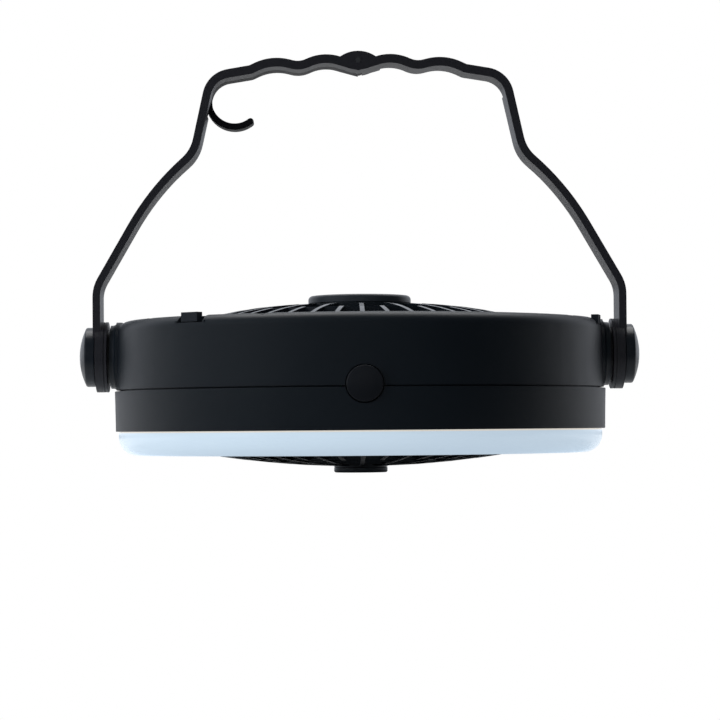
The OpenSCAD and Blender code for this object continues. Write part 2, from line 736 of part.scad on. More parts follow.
// One blade: a petal that climbs along the fan axis as it sweeps round
blade_rows = 9;
blade_cols = 9;
blade_root = hub_r - 1.2;
function blade_lead(t) = blade_sweep * (0.62 + 0.38 * sin(100 * t))
    * sqrt(max(0, 1 - pow(max(0, t - 0.62) / 0.44, 2)));
function blade_point(i, j, h) =
    let (t = i / blade_rows, s = j / blade_cols, r = blade_root + (impeller_r - blade_root) * t)
    let (a = 4 + (blade_lead(t) - 4) * s, rise = (hub_h - 3) * (1 - 0.25 * t))
    [r * cos(a), r * sin(a), z_hub + 1 + rise * (1 - s) + 1.2 * sin(180 * s) + h];
module blade() {
    n = blade_cols + 1;
    m = blade_rows + 1;
    low = [for (i = [0 : blade_rows], j = [0 : blade_cols]) blade_point(i, j, 0)];
    high = [for (i = [0 : blade_rows], j = [0 : blade_cols]) blade_point(i, j, blade_t)];
    k = n * m;
    top_faces = [for (i = [0 : m - 2], j = [0 : n - 2]) each [
        [k + i * n + j, k + (i + 1) * n + j + 1, k + (i + 1) * n + j],
        [k + i * n + j, k + i * n + j + 1, k + (i + 1) * n + j + 1]]];
    low_faces = [for (i = [0 : m - 2], j = [0 : n - 2]) each [
        [i * n + j, (i + 1) * n + j, (i + 1) * n + j + 1],
        [i * n + j, (i + 1) * n + j + 1, i * n + j + 1]]];
    rim = concat([for (j = [0 : n - 1]) j], [for (i = [1 : m - 1]) i * n + n - 1],
        [for (j = [n - 2 : -1 : 0]) (m - 1) * n + j], [for (i = [m - 2 : -1 : 1]) i * n]);
    side_faces = [for (i = [0 : len(rim) - 1]) let (p = rim[i], q = rim[(i + 1) % len(rim)]) each [
        [p, q, k + q], [p, k + q, k + p]]];
    polyhedron(concat(low, high), concat(top_faces, low_faces, side_faces));
}

module impeller() {
    color("#101316") difference() {
        union() {
            ring(hub_r - 1.5, hub_r, z_hub, z_hub + hub_h);
            translate([0, 0, z_hub]) cylinder(r = hub_r - 1, h = 2);
            translate([0, 0, z_hub]) cylinder(r = 3.5, h = hub_h - 4);
            for (a = [20, 200]) at_angle(a) blade();
        }
        translate([0, 0, z_hub + 2]) cylinder(r = shaft_r + 0.02, h = hub_h, $fn = 32);
    }
}

module light_board() {
    color("#f1f3f4") difference() {
        ring(light_board_in, light_board_out, z_floor - seat_fit - board_t, z_floor - seat_fit);
        for (a = light_screw_angles) at_angle(a) translate([light_screw_x, 0, 0])
            cylinder(r = motor_screw_r + seat_fit, h = z_top, $fn = 32);
    }
}

module light_diodes() {
    z1 = z_floor - seat_fit - board_t;
    color("#f3e7a8") for (i = [0 : led_count - 1]) at_angle(10 + i * 360 / led_count)
        translate([diode_r - 1.4, -1.75, z1 - diode_h]) cube([2.8, 3.5, diode_h]);
}

module light_board_screws() {
    color("#a9adb2") for (a = light_screw_angles) at_angle(a)
        translate([light_screw_x, 0, z_floor - seat_fit - board_t - 0.05]) rotate([180, 0, 0])
            screw(motor_screw_r, 6, 2.1, 1.2);
}

module control_board() {
    color("#1f6b45")
        box([board_x[0], board_y - board_t, z_floor + floor_t + seat_fit], [board_x[1], board_y, board_top]);
}

module board_parts() {
    y0 = board_y + 0.02;
    plug_x = polar(lead_ring_r, plug_angle, 0)[0] - 0.9;
    color("#2b2d31") {
        box([plug_x - 3, y0, z_motor_lead - 3], [plug_x + 3, y0 + 5.4, z_motor_lead + 3]);
        box([1, y0, z_floor + 10], [5, y0 + 1.5, z_floor + 15]);
        along_y(10, y0, z_floor + 22) cylinder(r = 2.5, h = 7, $fn = 48);
    }
}

module tact_switch() {
    half = switch_w / 2;
    color("#3a3c40") difference() {
        box([-half, switch_y - switch_h, button_z - half], [half, switch_y - 0.02, button_z + half]);
        along_y(0, switch_y - switch_h - 1, button_z)
            cylinder(r = plunger_r + run_fit, h = switch_h + 0.6, $fn = 48);
    }
}

module switch_plunger() {
    color("#d9d7d0") along_y(0, plunger_y + seat_fit / 2, button_z)
        cylinder(r = plunger_r, h = plunger_proud + 2, $fn = 48);
}

module power_button() {
    face_y = -(head_r + button_proud);
    crown = 0.7;
    edge = 0.6;
    crown_r = ((button_r - edge) * (button_r - edge) + crown * crown) / (2 * crown);
    edge_y = -face_y - crown;
    color("#0d0f12") translate([0, 0, button_z]) rotate([90, 0, 0]) rotate_extrude() polygon(concat(
        [[0, -stem_end_y], [stem_r, -stem_end_y], [stem_r, -flange_y - flange_t],
         [flange_r, -flange_y - flange_t], [flange_r, -flange_y], [button_r, -flange_y]],
        arc([button_r - edge, edge_y - edge], edge, 0, 78, 5),
        [for (i = [7 : -1 : 0]) let (x = (button_r - edge) * i / 7)
            [x, -face_y - crown_r + sqrt(crown_r * crown_r - x * x)]]
    ));
}

module battery_cell(a) {
    color("#c8a13c") at_angle(a) along_y(bay_mid, cell_base_y, z_cell) {
        cylinder(r = cell_r, h = cell_len);
        translate([0, 0, cell_len - 0.5]) cylinder(r = tip_r, h = tip_h + 0.5);
    }
}

// A coil of round wire from one radius to another along Z
module coil(r0, r1, h, turns, wire_r) {
    steps = turns * 14;
    sides = 6;
    ring_points = [for (i = [0 : steps], k = [0 : sides - 1])
        let (t = i / steps, a = 360 * turns * t, r = r0 + (r1 - r0) * t)
        let (c = r + wire_r * cos(360 * k / sides))
        [c * cos(a), c * sin(a), h * t + wire_r * sin(360 * k / sides)]];
    wall_faces = [for (i = [0 : steps - 1], k = [0 : sides - 1])
        let (p = i * sides + k, q = i * sides + (k + 1) % sides)
        each [[p, p + sides, q + sides], [p, q + sides, q]]];
    ends = [[for (k = [0 : sides - 1]) k], [for (k = [sides - 1 : -1 : 0]) steps * sides + k]];
    polyhedron(ring_points, concat(wall_faces, ends));
}

module contact_springs() {
    y0 = -bay_len / 2 + contact_t + seat_fit * 2 + spring_wire_r;
    length = cell_base_y - seat_fit - spring_wire_r - y0;
    color("#c9cdd2") for (a = bay_angles) at_angle(a)
        along_y(bay_mid, y0, z_cell) coil(4.2, 2.4, length, 3, spring_wire_r);
}

module contact_plates() {
    low = z_battery_lead - lead_r;
    color("#d5d8dc") for (a = bay_angles) at_angle(a) for (side = [-1, 1]) {
        y = side * tab_y;
        translate([bay_mid, y, z_cell]) cube([contact_w, contact_t, contact_w], center = true);
        box([tab_x - 1, y - contact_t / 2, z_cell - contact_w / 2], [bay_mid, y + contact_t / 2, z_cell]);
        box([tab_x - 1, y - contact_t / 2, low], [tab_x + 1, y + contact_t / 2, z_cell]);
    }
}

module battery_door(a) {
    z0 = z_plate + seat_fit;
    z1 = z0 + door_t;
    color("#191e23") at_angle(a) {
        intersection() {
            union() {
                box([hinge_x, -door_len / 2, z0], [door_out, door_len / 2, z1]);
                along_y(hinge_x, -door_len / 2, z_hinge) cylinder(r = hinge_r, h = door_len);
            }
            at_angle(-a) rotate_extrude($fn = 180) polygon(concat([[0, z_seam]], rim_outline, [[0, z_top]]));
        }
        box([door_out - 0.6, -latch_w / 2, z0], [latch_out - latch_t / 2, latch_w / 2, z1 - 0.4]);
        box([latch_out - latch_t, -latch_w / 2, z_top - notch_d + free_fit],
            [latch_out, latch_w / 2, z_top + latch_rise]);
        along_y(hinge_x, -door_len / 2 - hinge_pin_len, z_hinge)
            cylinder(r = hinge_pin_r, h = door_len + 2 * hinge_pin_len, $fn = 32);
    }
}

module casing_screws() {
    length = z_screw_seat - z_floor - floor_t - 3;
    color("#9a9ea3") for (a = screw_angles) at_angle(a)
        translate([post_x, 0, z_screw_seat + 0.05]) screw(screw_r, length, screw_head_r, screw_head_h);
}

module motor_leads() {
    drop = 1.4 + 3 * seat_fit + lead_r;
    hub_exit = rear_cap_r + 2;
    for (side = [-1, 1]) {
        y = side * lead_gap;
        a = lead_angle + side * asin(lead_gap / lead_ring_r);
        z1 = z_motor_lead + side * lead_gap;
        tint = side > 0 ? "#b3261e" : "#1b1b1d";
        color(tint) {
            at_angle(lead_angle) lead_run(concat(
                [[terminal_x + 1.5, side * (terminal_y - 0.4), z_motor + motor_len + end_cap_h + 0.85],
                 [cup_r + 0.3, side * (lead_gap + 0.1), z_motor + motor_len + end_cap_h + 0.75],
                 [cup_r + 2.2, y, z_cap - 2.4]],
                [for (i = [0 : 4]) let (r = hub_exit + (duct_r - 1.5 - hub_exit) * i / 4)
                    [r, y, rear_guard_z(r) - drop]],
                [[lead_ring_r - 0.2, y, z_plate - 2.6], [sqrt(lead_ring_r * lead_ring_r - y * y), y, z1]]
            ));
            lead_arc(lead_ring_r, z1, a, plug_angle + 0.2);
            lead_joint(polar(lead_ring_r, a, z1));
            lead_run([polar(lead_ring_r, plug_angle, z1),
                [polar(lead_ring_r, plug_angle, 0)[0] - 0.8, board_y + 5.5, z1]]);
        }
    }
}

module battery_leads() {
    r = norm([tab_x, tab_y]);
    out = atan2(tab_y, tab_x);
    x = 16.5;
    corner_a = asin(x / r);
    clear = 0.42;
    ends = [
        [bay_angles[0] + out + clear, button_angle - corner_a],
        [bay_angles[2] + out + clear, bay_angles[0] - out - clear],
        [bay_angles[1] + out - 360 + clear, bay_angles[2] - out - clear],
        [button_angle + corner_a, bay_angles[1] - out - clear]
    ];
    color("#b3261e") {
        for (e = ends) lead_arc(r, z_battery_lead, e[0], e[1]);
        for (side = [-1, 1]) lead_run([
            [side * x, -sqrt(r * r - x * x), z_battery_lead],
            [side * x, board_y + lead_r, z_battery_lead]
        ]);
    }
}

module light_leads() {
    color("#1b1b1d") for (side = [-1, 1]) lead_run([
        [12 + side, board_y + lead_r + seat_fit, z_floor + floor_t + 4],
        [12 + side, board_y + 3, z_floor + floor_t + 1], [12 + side, board_y + 3, z_floor + lead_r]
    ]);
}

// The inner face of the fixed half is stepped like the folded hook on the other half
step_line = shifted([
    for (p = band_inner) if (p[0] > 8 && p[1] > slot_z - pivot_z) p
], -0.45);
module along_depth(y0, y1) {
    translate([0, y1, pivot_z]) rotate([90, 0, 0]) linear_extrude(y1 - y0) children();
}

// The pointed oval at the middle of the grip
module grip_oval(y0, y1) {
    intersection() {
        along_y(0, y0, pin_z + oval_h / 2 - oval_arc_r) cylinder(r = oval_arc_r, h = y1 - y0);
        along_y(0, y0, pin_z - oval_h / 2 + oval_arc_r) cylinder(r = oval_arc_r, h = y1 - y0);
    }
}

module handle_band() {
    color("#22242c") difference() {
        union() {
            along_depth(-half_depth, half_depth) polygon(concat(
                reversed(flipped([for (i = [1 : len(band_outer) - 1]) band_outer[i]])), band_outer,
                reversed(band_inner), flipped([for (i = [1 : len(band_inner) - 1]) band_inner[i]])
            ));
            for (side = [0, 180]) rotate([0, 0, side]) along_x(eye_in) cylinder(r = eye_r, h = eye_w);
            grip_oval(-half_depth, half_depth);
        }
        for (side = [0, 180]) rotate([0, 0, side]) {
            along_x(eye_in - 5) cylinder(r = post_r + run_fit, h = eye_w + 15);
            along_x(eye_out) cylinder(r = knob_r + free_fit, h = 5);
            along_x(eye_in + 0.9) ring(eye_r - 0.5, eye_r + 1, 0, 0.35);
        }
        along_y(0, hook_y - free_fit, pin_z) cylinder(r = hook_hub_r + free_fit, h = hook_d + 2);
        box([-strap_x, hook_y - free_fit, slot_z], [0, half_depth + 1, pivot_z + handle_rise + 5]);
        along_depth(hook_y - free_fit, half_depth + 1)
            polygon(concat(step_line, reversed(shifted(step_line, 1))));
        along_y(0, -half_depth - 1, pin_z) cylinder(r = pin_r + 0.02, h = strap_d + 2, $fn = 48);
    }
}

module handle_hook() {
    curl_mid = curl_r + curl_t / 2;
    color("#22242c") difference() {
        union() {
            along_depth(hook_y, half_depth)
                polygon(concat(flipped(hook_outer), reversed(flipped(hook_inner))));
            along_y(0, hook_y, pin_z) cylinder(r = hook_hub_r, h = hook_d);
            difference() {
                along_y(curl_x, hook_y, curl_z) cylinder(r = curl_r + curl_t, h = hook_d);
                along_y(curl_x, hook_y - 1, curl_z) cylinder(r = curl_r, h = hook_d + 2);
                translate([curl_x, half_depth + 1, curl_z]) rotate([90, 0, 0]) linear_extrude(strap_d)
                    polygon(concat([[0, 0]], arc([0, 0], curl_r * 4, curl_end, 360 + curl_start, 8)));
            }
            along_y(curl_x + curl_mid * cos(curl_end), hook_y, curl_z + curl_mid * sin(curl_end))
                cylinder(r = curl_t / 2, h = hook_d, $fn = 48);
        }
        along_y(0, hook_y - 1, pin_z) cylinder(r = pin_r + run_fit, h = hook_d + 2, $fn = 48);
    }
}

module hook_pin() {
    color("#d4d7da") along_y(0, -half_depth - 0.2, pin_z) cylinder(r = pin_r, h = strap_d + 0.4, $fn = 48);
}

module knob_cap() {
    crown_r = (knob_r * knob_r + knob_crown * knob_crown) / (2 * knob_crown);
    side_end = knob_in + knob_side;
    color("#191c21") along_x(0) rotate_extrude() polygon(concat(
        [[0, knob_in + knob_side - 0.6], [7, knob_in + knob_side - 0.6], [7, knob_in + washer_t + 0.2],
         [knob_bore, knob_in + washer_t + 0.2], [knob_bore, knob_in], [knob_r, knob_in]],
        [for (i = [10 : -1 : 0]) let (r = knob_r * i / 10)
            [r, side_end + knob_crown - crown_r + sqrt(crown_r * crown_r - r * r)]]
    ));
}

module knob_cap_right() {
    knob_cap();
}

module knob_cap_left() {
    rotate([0, 0, 180]) knob_cap();
}

module pivot_screws() {
    color("#a9adb2") for (side = [0, 180]) rotate([0, 0, side])
        along_x(eye_out + washer_t + 0.1) screw(pivot_screw_r, pivot_screw_len, pivot_head_r, pivot_head_h);
}

module friction_washers() {
    color("#d8d4c8") for (side = [0, 180]) rotate([0, 0, side]) along_x(boss_end + 0.05)
        ring(post_r + seat_fit, post_r + 4, 0, eye_in - boss_end - 0.1);
}

module retaining_washers() {
    color("#b4b8bd") for (side = [0, 180]) rotate([0, 0, side]) along_x(eye_out + 0.05)
        ring(pivot_screw_r + seat_fit, knob_bore - seat_fit, 0, washer_t);
}

rear_casing();
front_casing();
light_diffuser();
rear_guard();
rear_hub_cap();
front_guard();
front_hub_cap();
motor_can();
motor_magnets();
motor_end_cap();
motor_terminals();
motor_screws();
shaft_bushes();
motor_rotor();
motor_shaft();
impeller();
light_board();
light_diodes();
light_board_screws();
control_board();
board_parts();
tact_switch();
switch_plunger();
power_button();
battery_cell(bay_angles[0]);  // battery_cell_1
battery_cell(bay_angles[1]);  // battery_cell_2
battery_cell(bay_angles[2]);  // battery_cell_3
contact_springs();
contact_plates();
battery_door(bay_angles[0]);  // battery_door_1
battery_door(bay_angles[1]);  // battery_door_2
battery_door(bay_angles[2]);  // battery_door_3
casing_screws();
motor_leads();
battery_leads();
light_leads();
handle_band();
handle_hook();
hook_pin();
knob_cap_left();
knob_cap_right();
pivot_screws();
friction_washers();
retaining_washers();
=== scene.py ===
import bpy
import bmesh
import math
from mathutils import Matrix, Vector


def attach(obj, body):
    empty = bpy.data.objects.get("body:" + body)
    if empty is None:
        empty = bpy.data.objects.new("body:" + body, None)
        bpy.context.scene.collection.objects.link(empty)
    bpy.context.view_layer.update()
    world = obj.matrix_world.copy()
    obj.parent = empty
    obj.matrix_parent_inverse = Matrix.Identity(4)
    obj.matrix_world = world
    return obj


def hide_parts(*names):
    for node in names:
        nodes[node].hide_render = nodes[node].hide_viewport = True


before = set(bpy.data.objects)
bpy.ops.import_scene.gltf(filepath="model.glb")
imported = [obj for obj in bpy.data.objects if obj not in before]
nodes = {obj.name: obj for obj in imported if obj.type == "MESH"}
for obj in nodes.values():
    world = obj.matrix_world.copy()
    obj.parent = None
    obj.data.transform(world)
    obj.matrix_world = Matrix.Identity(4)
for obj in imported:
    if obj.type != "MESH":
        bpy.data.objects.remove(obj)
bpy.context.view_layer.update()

# Rear casing: the upper half of the fan head, which carries the battery bays and the side bosses.
# Moulded in black ABS from a spark-eroded tool, so its skin is a fine even satin. Three screws in
# deep holes hold it to the front casing.


# An sRGB hex colour as linear light
def linear(code):
    parts = [int(code[i:i + 2], 16) / 255 for i in (1, 3, 5)]
    return tuple(c / 12.92 if c <= 0.04045 else ((c + 0.055) / 1.055) ** 2.4 for c in parts) + (1,)


# One node with its settings and its links, each under the name or the number of a socket
def add(tree, kind, settings=None, links=None):
    node = tree.nodes.new(kind)
    for key, value in (settings or {}).items():
        if isinstance(key, int) or key in node.inputs:
            node.inputs[key].default_value = value
        else:
            setattr(node, key, value)
    for key, source in (links or {}).items():
        tree.links.new(source, node.inputs[key])
    return node


def new_material(name):
    material = bpy.data.materials.new(name)
    material.use_nodes = True
    material.node_tree.nodes.clear()
    return material, material.node_tree


# Most of a noise lies between these two
noise_low, noise_high = 0.3, 0.7

# A moulded skin: a slow drift of tone and gloss, as the melt leaves it, under the tool's own grain
melt_patch_mm = 35
melt_tone = 0.12
melt_gloss = 0.08


def moulded(name, colour, roughness, grain_mm, relief_mm, **finish):
    material, tree = new_material(name)
    place = add(tree, "ShaderNodeTexCoord").outputs["Object"]
    melt = add(tree, "ShaderNodeTexNoise", {"Scale": 1000 / melt_patch_mm, "Detail": 2}, {"Vector": place})
    grain = add(tree, "ShaderNodeTexNoise", {"Scale": 1000 / grain_mm, "Detail": 2}, {"Vector": place})
    base = linear(colour)
    dark = tuple(c * (1 - melt_tone) for c in base[:3]) + (1,)
    light = tuple(min(1, c * (1 + melt_tone)) for c in base[:3]) + (1,)
    tone = add(tree, "ShaderNodeMix", {"data_type": "RGBA", 6: dark, 7: light}, {0: melt.outputs["Fac"]})
    gloss = add(tree, "ShaderNodeMapRange", {
        "From Min": noise_low, "From Max": noise_high,
        "To Min": roughness * (1 - melt_gloss), "To Max": roughness * (1 + melt_gloss)
    }, {"Value": melt.outputs["Fac"]})
    relief = add(tree, "ShaderNodeBump", {"Strength": 0.5, "Distance": relief_mm / 1000},
                 {"Height": grain.outputs["Fac"]})
    skin = add(tree, "ShaderNodeBsdfPrincipled", finish, {
        "Base Color": tone.outputs[2], "Roughness": gloss.outputs["Result"], "Normal": relief.outputs["Normal"]
    })
    add(tree, "ShaderNodeOutputMaterial", {}, {"Surface": skin.outputs["BSDF"]})
    return material


# A moulding's own mesh: the solid's copy with each sharp corner rounded as the tool leaves it
weld_reach = 1e-6  # metres between points that count as one
flat_turn = math.radians(0.3)  # a smaller turn between two faces counts as flat
corner_turn = math.radians(34)  # a larger turn is a corner, and gets a rounding
same_shade = 0.76  # the cosine of the turn up to which faces are shaded as one
least_area = 1e-12  # keeps the sum of a sliver's directions above nothing


def softened(name, body, material, radius_mm):
    b = bmesh.new()
    b.from_mesh(nodes[name].data)
    bmesh.ops.remove_doubles(b, verts=b.verts, dist=weld_reach)
    bmesh.ops.dissolve_limit(b, angle_limit=flat_turn, verts=b.verts, edges=b.edges)
    sharp = [e for e in b.edges if e.calc_face_angle(0) > corner_turn]
    bmesh.ops.bevel(b, geom=sharp, offset=radius_mm / 1000, offset_type="OFFSET", segments=2,
                    profile=0.5, affect="EDGES", clamp_overlap=True, material=-1)
    bmesh.ops.recalc_face_normals(b, faces=b.faces)
    b.normal_update()
    # Wide faces keep their own direction, and the roundings between them take up the turn
    areas = {f: f.calc_area() + least_area for f in b.faces}
    turned = []
    for face in b.faces:
        for loop in face.loops:
            near = [f for f in loop.vert.link_faces if f.normal.dot(face.normal) > same_shade]
            turned.append(sum((f.normal * areas[f] for f in near), face.normal * least_area).normalized())
    mesh = bpy.data.meshes.new(name + "_moulding")
    b.to_mesh(mesh)
    b.free()
    mesh.shade_smooth()
    mesh.normals_split_custom_set(turned)
    mesh.materials.append(material)
    piece = bpy.data.objects.new(name + "_moulding", mesh)
    bpy.context.scene.collection.objects.link(piece)
    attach(piece, body)
    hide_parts(name)


# Spark-eroded ABS spreads each highlight into a broad soft sheen. The tool's grain is about 0.05 mm,
# and is drawn at 0.4 mm so that it shows. The other mouldings' grain is drawn coarser in the same way.
casing_abs = moulded("spark_eroded_abs", "#141B22", 0.42, 0.4, 0.012)
softened("rear_casing", "housing", casing_abs, 0.35)

# Front casing: the band under the seam, with the air duct and the floor over the light board.
# The same black ABS as the rear casing; its lip sits inside the rear casing's wall.
softened("front_casing", "housing", casing_abs, 0.3)

# Battery doors: three flat covers that swing up on moulded pins and latch with a tongue at the rim.
# Moulded in the casing's ABS and laid in its rear face.
for number in (1, 2, 3):
    door = "battery_door_%d" % number
    softened(door, door, casing_abs, 0.25)

# Light diffuser: the ring that covers the light board, snapped into the band from below.
# Milky polycarbonate from a polished tool, whose smooth face keeps sharp glints. Its emission is painted
# light: a pale glow over the whole ring that lifts its tone evenly, though no lamp in the scene lights it.
diffuser_pc, tree = new_material("milky_polycarbonate")
cloud_mm = 22
ripple_mm, ripple_relief_mm = 6, 0.006
place = add(tree, "ShaderNodeTexCoord").outputs["Object"]
cloud = add(tree, "ShaderNodeTexNoise", {"Scale": 1000 / cloud_mm, "Detail": 3}, {"Vector": place})
milk = add(tree, "ShaderNodeMix", {"data_type": "RGBA", 6: linear("#94A4AE"), 7: linear("#A2B0B9")},
           {0: cloud.outputs["Fac"]})
# Close under the band a thin warm line is painted into the glow, a painted highlight along the top edge,
# between these heights
painted_line_from, painted_line_full = 0.01508, 0.01528
height = add(tree, "ShaderNodeSeparateXYZ", {}, {0: place})
painted_line_mask = add(tree, "ShaderNodeMapRange", {"From Min": painted_line_from, "From Max": painted_line_full},
           {"Value": height.outputs["Z"]})
painted_glow = add(tree, "ShaderNodeMix", {"data_type": "RGBA", 6: linear("#D9EDFF"), 7: linear("#FFF6E8")},
            {0: painted_line_mask.outputs["Result"]})
ripple = add(tree, "ShaderNodeTexNoise", {"Scale": 1000 / ripple_mm, "Detail": 1}, {"Vector": place})
relief = add(tree, "ShaderNodeBump", {"Strength": 0.4, "Distance": ripple_relief_mm / 1000},
             {"Height": ripple.outputs["Fac"]})
# The emission colour and strength paint the ring's glow: painted light, not light from a lamp
skin = add(tree, "ShaderNodeBsdfPrincipled", {
    "Roughness": 0.14, "IOR": 1.585, "Coat Weight": 0.3, "Coat Roughness": 0.05, "Emission Strength": 0.62
}, {"Base Color": milk.outputs[2], "Emission Color": painted_glow.outputs[2], "Normal": relief.outputs["Normal"]})
add(tree, "ShaderNodeOutputMaterial", {}, {"Surface": skin.outputs["BSDF"]})
softened("light_diffuser", "housing", diffuser_pc, 0.2)

# Guards: two domed grilles with radial bars that thin out towards the hub. The rear one carries the
# motor's cup and the channel for its leads. Black ABS from a polished tool, so each bar has a glint.
guard_abs = moulded("polished_abs", "#161C22", 0.19, 0.9, 0.003)
softened("rear_guard", "housing", guard_abs, 0.35)
softened("front_guard", "housing", guard_abs, 0.35)

# Hub caps: a wide cap over the motor behind, and a small one in front that the fan stands on.
# Black ABS with a fine satin skin, pressed over their hubs. They are coloured greyer than the bars, a painted
# lift of light that falls on them.
cap_abs = moulded("satin_abs_painted_light", "#2A3036", 0.34, 0.5, 0.008)
softened("rear_hub_cap", "housing", cap_abs, 0.3)
softened("front_hub_cap", "housing", cap_abs, 0.2)

# Impeller: two broad petal blades on a deep hub, pressed on the motor's shaft.
# Black ABS, a little duller than the guards, with the faint flow marks of a large thin moulding.
impeller_abs = moulded("flow_marked_abs", "#101418", 0.3, 1.6, 0.006)
softened("impeller", "impeller", impeller_abs, 0.3)

# Motor: a small brushed motor in the rear guard's cup, held by two screws through its front plate.
# Its can is drawn steel with a zinc skin, its ends are nylon and bronze, and its drum is copper wire.


# The solid's own mesh with a maker's material on it
def dressed(material, *names):
    for name in names:
        nodes[name].data.materials.clear()
        nodes[name].data.materials.append(material)


# A worked metal: fine lines from the tool, drawn out along one direction. Real lines are too fine to
# show at under 0.1 mm, so they are drawn at 0.25 to 0.5 mm.
line_tone = 0.14
line_gloss = 0.2
line_relief_mm = 0.008


def worked(name, colour, roughness, line_mm, stretch=(1, 1, 8)):
    material, tree = new_material(name)
    place = add(tree, "ShaderNodeTexCoord").outputs["Object"]
    scale = tuple(1000 / line_mm / s for s in stretch)
    drawn = add(tree, "ShaderNodeMapping", {"Scale": scale}, {"Vector": place})
    lines = add(tree, "ShaderNodeTexNoise", {"Scale": 1, "Detail": 3}, {"Vector": drawn.outputs["Vector"]})
    base = linear(colour)
    dull = tuple(c * (1 - line_tone) for c in base[:3]) + (1,)
    tone = add(tree, "ShaderNodeMix", {"data_type": "RGBA", 6: dull, 7: base}, {0: lines.outputs["Fac"]})
    gloss = add(tree, "ShaderNodeMapRange", {
        "From Min": noise_low, "From Max": noise_high,
        "To Min": roughness * (1 - line_gloss), "To Max": roughness * (1 + line_gloss)
    }, {"Value": lines.outputs["Fac"]})
    relief = add(tree, "ShaderNodeBump", {"Strength": 0.4, "Distance": line_relief_mm / 1000},
                 {"Height": lines.outputs["Fac"]})
    skin = add(tree, "ShaderNodeBsdfPrincipled", {"Metallic": 1}, {
        "Base Color": tone.outputs[2], "Roughness": gloss.outputs["Result"], "Normal": relief.outputs["Normal"]
    })
    add(tree, "ShaderNodeOutputMaterial", {}, {"Surface": skin.outputs["BSDF"]})
    return material


# Zinc plate is pale grey and half bright, with faint level lines round the can
zinc_steel = worked("zinc_plated_steel", "#B9BDC2", 0.32, 0.5, (8, 8, 1))
# Ground steel is the brightest metal here, and its highlights are tight
bright_steel = worked("ground_steel", "#D2D5D8", 0.18, 0.3)
# Pressed ferrite is dark, dead matt and a little sandy
ferrite = moulded("pressed_ferrite", "#4A4C50", 0.62, 0.6, 0.02)
# Natural nylon is off-white, with a soft waxy sheen
end_nylon = moulded("natural_nylon", "#E6E4DC", 0.45, 0.8, 0.008, IOR=1.53)
# Stamped brass is yellow and bright, with a few faint lines
stamped_brass = worked("stamped_brass", "#C9A24A", 0.3, 0.4)
# Sintered bronze is brown and dull, with pores in place of lines
sintered_bronze = worked("sintered_bronze", "#A87F4A", 0.5, 0.25, (1, 1, 1))
# Enamelled copper is a glossy red brown, with the wire's turns as level lines
copper_wire = worked("enamelled_copper", "#A65A34", 0.28, 0.35, (6, 6, 1))
dressed(zinc_steel, "motor_can", "motor_screws")
dressed(bright_steel, "motor_shaft")
dressed(ferrite, "motor_magnets")
dressed(end_nylon, "motor_end_cap", "switch_plunger")
dressed(stamped_brass, "motor_terminals")
dressed(sintered_bronze, "shaft_bushes")
dressed(copper_wire, "motor_rotor")

# Circuit boards: the ring-shaped light board under the front casing's floor, and the upright
# control board behind the button. Glass-fibre laminate under solder mask, with tracks in relief.


# Solder mask over copper: a smooth semi-gloss skin, in which the tracks show as fine raised lines
pattern_pitches = 8
track_relief_mm = 0.03


def board(name, mask, track, pitch_mm):
    material, tree = new_material(name)
    place = add(tree, "ShaderNodeTexCoord").outputs["Object"]
    tracks = add(tree, "ShaderNodeTexBrick", {
        "Scale": 1000 / (pitch_mm * pattern_pitches), "Mortar Size": 0.03, "Mortar Smooth": 0.2,
        "Color1": linear(mask), "Color2": linear(mask), "Mortar": linear(track)
    }, {"Vector": place})
    relief = add(tree, "ShaderNodeBump", {"Strength": 0.5, "Distance": track_relief_mm / 1000},
                 {"Height": tracks.outputs["Fac"]})
    skin = add(tree, "ShaderNodeBsdfPrincipled", {"Roughness": 0.28},
               {"Base Color": tracks.outputs["Color"], "Normal": relief.outputs["Normal"]})
    add(tree, "ShaderNodeOutputMaterial", {}, {"Surface": skin.outputs["BSDF"]})
    return material


dressed(board("white_solder_mask", "#EEF0F1", "#D9D6CB", 1.2), "light_board")
dressed(board("green_solder_mask", "#1B5E3C", "#2F7F55", 1.0), "control_board")
# Phosphor in clear resin: pale yellow with a soft even sheen
dressed(moulded("yellow_phosphor", "#EFE2A0", 0.4, 0.3, 0.004), "light_diodes")
# Filled epoxy: a dull charcoal with a fine grain, as a chip's case
dressed(moulded("filled_epoxy", "#25262A", 0.5, 0.35, 0.01), "board_parts", "tact_switch")

# Power button: a round key set across the casings' seam, over the control board's switch.
# ABS from a mirror-polished tool, the glossiest black on the fan, so its rounded edge takes the glints.
button_abs = moulded("mirror_polished_abs", "#1C1F24", 0.16, 1.2, 0.002)
softened("power_button", "power_button", button_abs, 0.2)

